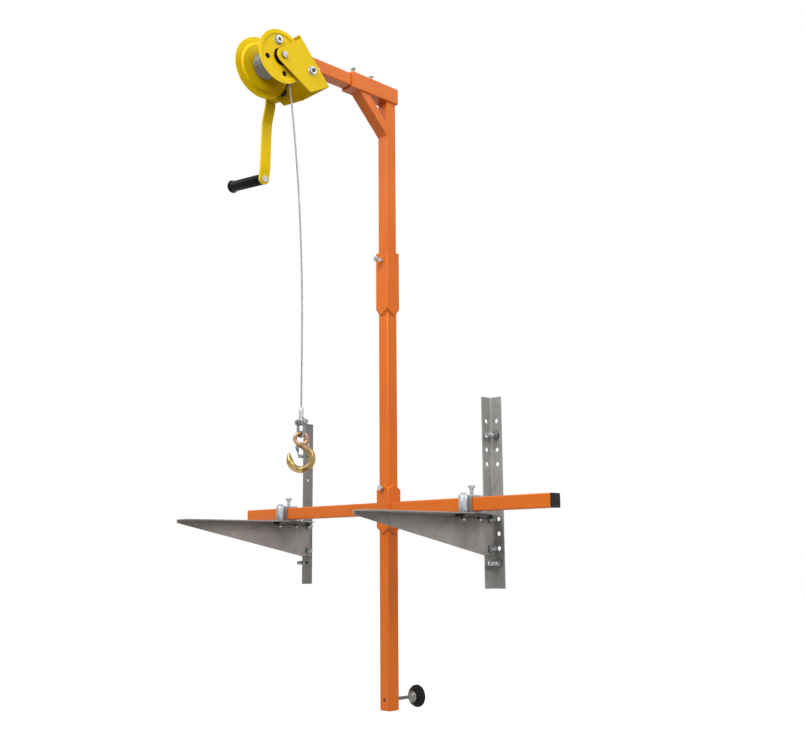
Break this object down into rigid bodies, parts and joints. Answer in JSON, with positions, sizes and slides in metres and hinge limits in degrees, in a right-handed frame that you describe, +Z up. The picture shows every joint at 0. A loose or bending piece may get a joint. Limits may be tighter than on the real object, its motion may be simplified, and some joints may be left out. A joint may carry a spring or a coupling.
{
  "type": "installation crane",
  "caption": "Wall-bracket installation crane: a sliding mast on a clamped cross bar carries a hand winch on a short boom, whose wire rope and latched hook lift a unit on to the bracket arms.",
  "frame": {"origin": "Middle of the pattern of four free wall holes in the two uprights, on the wall plane", "axes": "+X to the right along the wall, +Y into the wall, -Y out into the open, +Z up"},
  "size_m": [1.1485, 0.5843, 1.7029],
  "materials": {
    "orange_paint": "satin powder coat",
    "yellow_paint": "gloss paint",
    "bracket_grey": "satin powder coat",
    "galvanised": "bright zinc",
    "zinc_steel": "zinc plated",
    "wire_rope": "laid wire",
    "dark_steel": "oiled steel",
    "hook_gold": "yellow passivated",
    "ferrule_alloy": "pressed",
    "black_plastic": "moulded",
    "black_rubber": "moulded"
  },
  "bodies": {
    "brackets": {"upright_left": "bracket_grey", "upright_right": "bracket_grey", "arm_left": "bracket_grey", "arm_right": "bracket_grey", "arm_bolts": "galvanised", "wall_anchors": "galvanised", "clamp_left": "galvanised", "clamp_right": "galvanised", "clamp_plates": "galvanised", "clamp_bolts": "galvanised"},
    "bar_clamp_left": {"clamp_screw_left": "galvanised"},
    "bar_clamp_right": {"clamp_screw_right": "galvanised"},
    "bar": {"bar_sleeve": "orange_paint", "bar_tube_left": "orange_paint", "bar_tube_right": "orange_paint", "bar_cap": "black_plastic"},
    "bar_lock": {"sleeve_screw": "zinc_steel"},
    "lower_mast": {"lower_mast": "orange_paint", "coupling_sleeve": "orange_paint", "foot_nut": "zinc_steel"},
    "mast_lock": {"coupling_screw": "zinc_steel"},
    "foot": {"foot_rod": "zinc_steel", "foot_pad": "black_rubber"},
    "upper_mast": {"upper_mast": "orange_paint", "boom_socket": "orange_paint", "brace": "orange_paint"},
    "boom_lock_front": {"socket_screw_1": "zinc_steel"},
    "boom_lock_rear": {"socket_screw_2": "zinc_steel"},
    "boom": {"boom": "orange_paint", "seat_bolts": "zinc_steel", "winch_frame": "yellow_paint", "drum_axle": "zinc_steel", "tie_bolt": "zinc_steel", "brake_cover": "yellow_paint", "cover_screws": "zinc_steel", "rope_hanging": "wire_rope"},
    "drum": {"drum_core": "dark_steel", "drum_flange_near": "yellow_paint", "drum_flange_far": "yellow_paint", "drum_gear": "dark_steel", "keeper_bolt": "zinc_steel", "rope_layers": "wire_rope", "rope_winding": "wire_rope"},
    "crank": {"crank_shaft": "dark_steel", "crank_arm": "yellow_paint", "crank_nut": "zinc_steel", "grip_pin": "zinc_steel"},
    "grip": {"grip": "black_plastic"},
    "hook_line": {"ferrule": "ferrule_alloy", "rope_eye": "wire_rope", "shackle": "zinc_steel", "shackle_pin": "zinc_steel"},
    "hook": {"hook": "hook_gold", "latch_pin": "zinc_steel"},
    "latch": {"latch": "zinc_steel"}
  },
  "joints": [
    {"name": "clamp_screw_left_turn", "type": "slide", "parent": "brackets", "child": "bar_clamp_left", "axis": [0, 0, 1], "range_m": [0, 0.006]},
    {"name": "clamp_screw_right_turn", "type": "slide", "parent": "brackets", "child": "bar_clamp_right", "axis": [0, 0, 1], "range_m": [0, 0.006]},
    {"name": "bar_slide", "type": "slide", "parent": "brackets", "child": "bar", "axis": [1, 0, 0], "range_m": [-0.1, 0.1]},
    {"name": "bar_screw", "type": "slide", "parent": "bar", "child": "bar_lock", "axis": [0, -1, 0], "range_m": [0, 0.006]},
    {"name": "mast_slide", "type": "slide", "parent": "bar", "child": "lower_mast", "axis": [0, 0, 1], "range_m": [-0.4, 0.3]},
    {"name": "coupling_screw_turn", "type": "slide", "parent": "lower_mast", "child": "mast_lock", "axis": [0, -1, 0], "range_m": [0, 0.006]},
    {"name": "foot_screw", "type": "slide", "parent": "lower_mast", "child": "foot", "axis": [0, -1, 0], "range_m": [-0.012, 0.04]},
    {"name": "mast_lift_off", "type": "slide", "parent": "lower_mast", "child": "upper_mast", "axis": [0, 0, 1], "range_m": [0, 0.075]},
    {"name": "boom_screw_front", "type": "slide", "parent": "upper_mast", "child": "boom_lock_front", "axis": [0, 0, 1], "range_m": [0, 0.006]},
    {"name": "boom_screw_rear", "type": "slide", "parent": "upper_mast", "child": "boom_lock_rear", "axis": [0, 0, 1], "range_m": [0, 0.006]},
    {"name": "boom_slide", "type": "slide", "parent": "upper_mast", "child": "boom", "axis": [0, -1, 0], "range_m": [-0.08, 0.1]},
    {"name": "drum_spin", "type": "hinge", "parent": "boom", "child": "drum", "pos_m": [0.0955, -0.50335, 1.08042], "axis": [1, 0, 0], "range_deg": [0, 984]},
    {"name": "crank_spin", "type": "hinge", "parent": "boom", "child": "crank", "pos_m": [0.0955, -0.4333, 1.04443], "axis": [1, 0, 0], "range_deg": [-4190, 0]},
    {"name": "grip_spin", "type": "hinge", "parent": "crank", "child": "grip", "pos_m": [-0.02416, -0.43927, 0.81673], "axis": [0.9925, -0.0032, -0.1218], "continuous": true},
    {"name": "hook_travel", "type": "slide", "parent": "boom", "child": "hook_line", "axis": [0, 0, 1], "range_m": [0, 0.55], "deforming": ["rope_hanging"]},
    {"name": "hook_swing", "type": "hinge", "parent": "hook_line", "child": "hook", "pos_m": [0.1089, -0.4143, 0.1298], "axis": [0.9945, -0.1045, 0], "range_deg": [-30, 30]},
    {"name": "latch_hinge", "type": "hinge", "parent": "hook", "child": "latch", "pos_m": [0.10218, -0.42102, 0.1033], "axis": [0.7071, -0.7071, 0], "range_deg": [-50, 8], "stiffness_Nm_per_rad": 0.05, "springref_deg": -72.77}
  ],
  "couplings": [
    {"joint": "crank_spin", "follows": "drum_spin", "ratio": -4.25},
    {"joint": "hook_travel", "follows": "drum_spin", "m_per_rad": 0.032}
  ]
}
